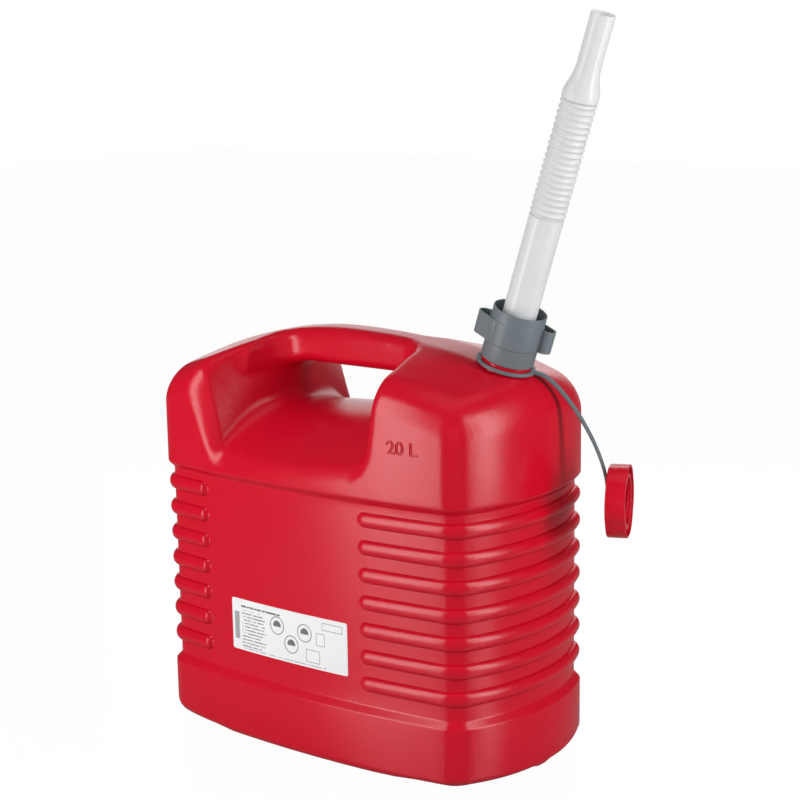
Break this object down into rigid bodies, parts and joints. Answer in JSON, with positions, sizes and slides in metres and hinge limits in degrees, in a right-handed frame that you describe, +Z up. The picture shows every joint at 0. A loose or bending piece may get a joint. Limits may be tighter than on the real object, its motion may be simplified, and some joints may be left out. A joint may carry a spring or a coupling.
{
  "type": "plastic jerrycan with pouring spout",
  "caption": "Plastic fuel jerrycan with a hollow top handle, ribbed walls, a screw-on flexible pouring spout and a closure cap on a strap.",
  "frame": {"origin": "middle of the underside, on the flat that the can stands on", "axes": "+Z up, +X towards the neck end, -Y out of the front face with the label"},
  "size_m": [0.4564, 0.218, 0.6513],
  "materials": {
    "red_plastic": "moulded polyethylene with a soft gloss",
    "grey_plastic": "satin moulded polyethylene",
    "milky_plastic": "translucent natural polyethylene",
    "seal_rubber": "smooth sealing rubber",
    "label_film": "white self-adhesive film"
  },
  "bodies": {
    "can": {"can_body": "red_plastic", "label": "label_film"},
    "strap_ring": {"strap_ring": "grey_plastic"},
    "leash": {"strap_leash": "grey_plastic"},
    "cap": {"closure_cap": "red_plastic", "cap_seal": "seal_rubber"},
    "spout": {"spout_seal": "seal_rubber", "spout_tube": "milky_plastic", "spout_bellows": "milky_plastic"},
    "nozzle": {"spout_nozzle": "milky_plastic"},
    "collar": {"spout_collar": "grey_plastic"}
  },
  "joints": [
    {"name": "strap_swivel", "type": "hinge", "parent": "can", "child": "strap_ring", "pos_m": [0.1523, 0, 0.3557], "axis": [0.314, 0, 0.9494], "range_deg": [-65, 20]},
    {"name": "strap_flex", "type": "hinge", "parent": "strap_ring", "child": "leash", "pos_m": [0.17984, 0.01319, 0.34891], "axis": [0.4012, -0.9063, -0.1327], "range_deg": [-5, 80], "stiffness_Nm_per_rad": 0.06, "springref_deg": 13.75},
    {"name": "cap_spin", "type": "hinge", "parent": "leash", "child": "cap", "pos_m": [0.23387, 0.03804, 0.2405], "axis": [0.9063, 0.4226, 0], "continuous": true},
    {"name": "collar_turn", "type": "hinge", "parent": "spout", "child": "collar", "pos_m": [0.1523, 0, 0.3557], "axis": [0.314, 0, 0.9494], "range_deg": [0, 541]},
    {"name": "spout_lift", "type": "slide", "parent": "can", "child": "spout", "axis": [0.314, 0, 0.9494], "range_m": [0, 0.0075]},
    {"name": "spout_bend", "type": "hinge", "parent": "spout", "child": "nozzle", "pos_m": [0.2108, 0, 0.53258], "axis": [0, 1, 0], "range_deg": [-60, 60], "stiffness_Nm_per_rad": 0.15, "deforming": ["spout_bellows"]}
  ],
  "couplings": [
    {"joint": "collar_turn", "follows": "spout_lift", "rad_per_m": 1256.6}
  ]
}
